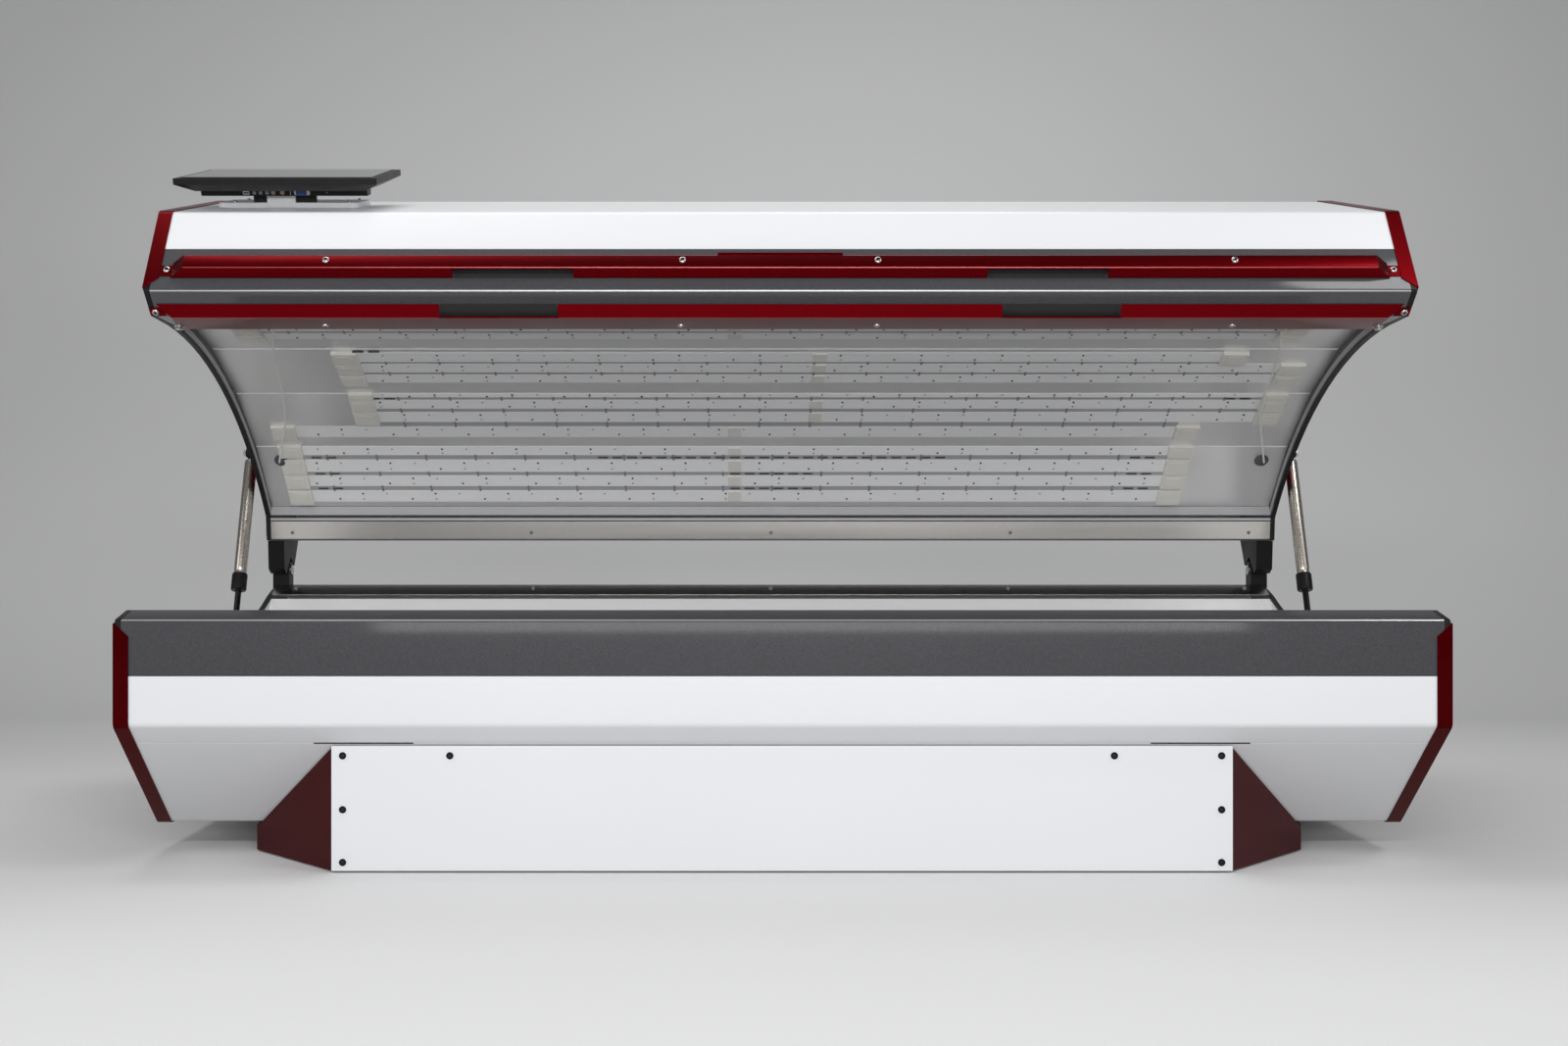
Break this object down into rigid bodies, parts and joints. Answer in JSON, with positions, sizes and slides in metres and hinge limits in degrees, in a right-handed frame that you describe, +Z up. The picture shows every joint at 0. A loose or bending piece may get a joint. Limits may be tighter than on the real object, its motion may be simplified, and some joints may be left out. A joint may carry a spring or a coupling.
{
  "type": "light therapy bed",
  "caption": "Clamshell light-therapy bed: tub base on a pedestal, hinged canopy with lamp boards behind clear curved sheets, gas struts, grip rails and a tilting touch screen.",
  "frame": {"origin": "on the floor, under the middle of the open bed's box", "axes": "+X along the bed's length to the right of someone facing its front, +Y from the front to the rear, +Z up"},
  "size_m": [2.3388, 1.1784, 1.2878],
  "materials": {
    "white_enamel": "satin white powder coat",
    "graphite_enamel": "satin graphite metallic coat",
    "graphite_board": "satin graphite coat on aluminium plate",
    "candy_red": "gloss deep red lacquer",
    "polished_steel": "polished stainless",
    "brushed_nickel": "brushed",
    "black_steel": "satin black",
    "clear_acrylic": "clear cast sheet",
    "lamp_board": "white-coated lamp board",
    "black_plastic": "moulded",
    "dark_glass": "gloss touch glass",
    "galvanised_steel": "galvanised",
    "driver_case": "ribbed aluminium case",
    "white_cable": "insulated lead"
  },
  "bodies": {
    "base": {"base_acrylic": "clear_acrylic", "base_belly_panel": "white_enamel", "base_end_cap_left": "candy_red", "base_end_cap_right": "candy_red", "base_end_panel_left": "graphite_board", "base_end_panel_right": "graphite_board", "base_floor_pan": "galvanised_steel", "base_front_fascia": "white_enamel", "base_lamp_driver": "driver_case", "base_lamp_panel_1": "lamp_board", "base_lamp_panel_2": "lamp_board", "base_lamp_panel_3": "lamp_board", "base_lamp_panel_4": "lamp_board", "base_nose_trim": "graphite_enamel", "base_rear_cover": "white_enamel", "base_rear_retainer": "polished_steel", "hinge_bracket_left": "black_steel", "hinge_bracket_right": "black_steel", "levelling_foot_front_left": "black_plastic", "levelling_foot_front_right": "black_plastic", "levelling_foot_rear_left": "black_plastic", "levelling_foot_rear_right": "black_plastic", "pedestal_frame": "black_steel", "pedestal_front_panel": "white_enamel", "pedestal_rear_panel": "white_enamel", "pedestal_side_left": "candy_red", "pedestal_side_right": "candy_red", "power_inlet": "black_plastic", "cooling_fan_frame": "black_plastic"},
    "fan_rotor": {"cooling_fan_rotor": "black_plastic"},
    "canopy": {"canopy_acrylic": "clear_acrylic", "canopy_end_cap_left": "candy_red", "canopy_end_cap_right": "candy_red", "canopy_end_panel_left": "graphite_board", "canopy_end_panel_right": "graphite_board", "canopy_front_fascia": "white_enamel", "canopy_lamp_driver": "driver_case", "canopy_lamp_panel_1": "lamp_board", "canopy_lamp_panel_2": "lamp_board", "canopy_lamp_panel_3": "lamp_board", "canopy_lamp_panel_4": "lamp_board", "canopy_lead_left": "white_cable", "canopy_lead_right": "white_cable", "canopy_nose_trim": "graphite_enamel", "canopy_rear_rail": "graphite_enamel", "canopy_rear_retainer": "polished_steel", "canopy_top_cover": "white_enamel", "handle_rail_lower": "candy_red", "handle_rail_upper": "candy_red", "hinge_arm_left": "black_steel", "hinge_arm_right": "black_steel", "screen_stand": "white_enamel"},
    "screen": {"screen_housing": "black_plastic", "screen_glass": "dark_glass"},
    "strut_rod_body_left": {"strut_rod_left": "black_steel"},
    "strut_rod_body_right": {"strut_rod_right": "black_steel"},
    "strut_tube_body_left": {"strut_cylinder_left": "brushed_nickel"},
    "strut_tube_body_right": {"strut_cylinder_right": "brushed_nickel"}
  },
  "joints": [
    {"name": "canopy_hinge", "type": "hinge", "parent": "base", "child": "canopy", "pos_m": [0, 0.43278, 0.4905], "axis": [1, 0, 0], "range_deg": [0, 30.7]},
    {"name": "strut_swing_left", "type": "hinge", "parent": "base", "child": "strut_rod_body_left", "pos_m": [-1.1509, 0.17428, 0.3], "axis": [1, 0, 0], "range_deg": [0, 13.8]},
    {"name": "strut_slide_left", "type": "slide", "parent": "strut_rod_body_left", "child": "strut_tube_body_left", "axis": [0, 0.3259, 0.9454], "range_m": [-0.1124, 0]},
    {"name": "strut_swing_right", "type": "hinge", "parent": "base", "child": "strut_rod_body_right", "pos_m": [1.1509, 0.17428, 0.3], "axis": [1, 0, 0], "range_deg": [0, 13.8]},
    {"name": "strut_slide_right", "type": "slide", "parent": "strut_rod_body_right", "child": "strut_tube_body_right", "axis": [0, 0.3259, 0.9454], "range_m": [-0.1124, 0]},
    {"name": "screen_tilt", "type": "hinge", "parent": "canopy", "child": "screen", "pos_m": [-0.92, -0.22381, 1.22101], "axis": [1, 0, 0], "range_deg": [-12, 16]},
    {"name": "fan_spin", "type": "hinge", "parent": "base", "child": "fan_rotor", "pos_m": [-0.45, -0.03922, 0.0599], "axis": [0, 0, 1], "continuous": true}
  ],
  "couplings": [
    {"joint": "strut_swing_left", "follows": "canopy_hinge", "ratio": 0.4425},
    {"joint": "strut_slide_left", "follows": "canopy_hinge", "m_per_rad": -0.208},
    {"joint": "strut_swing_right", "follows": "canopy_hinge", "ratio": 0.4425},
    {"joint": "strut_slide_right", "follows": "canopy_hinge", "m_per_rad": -0.208}
  ]
}
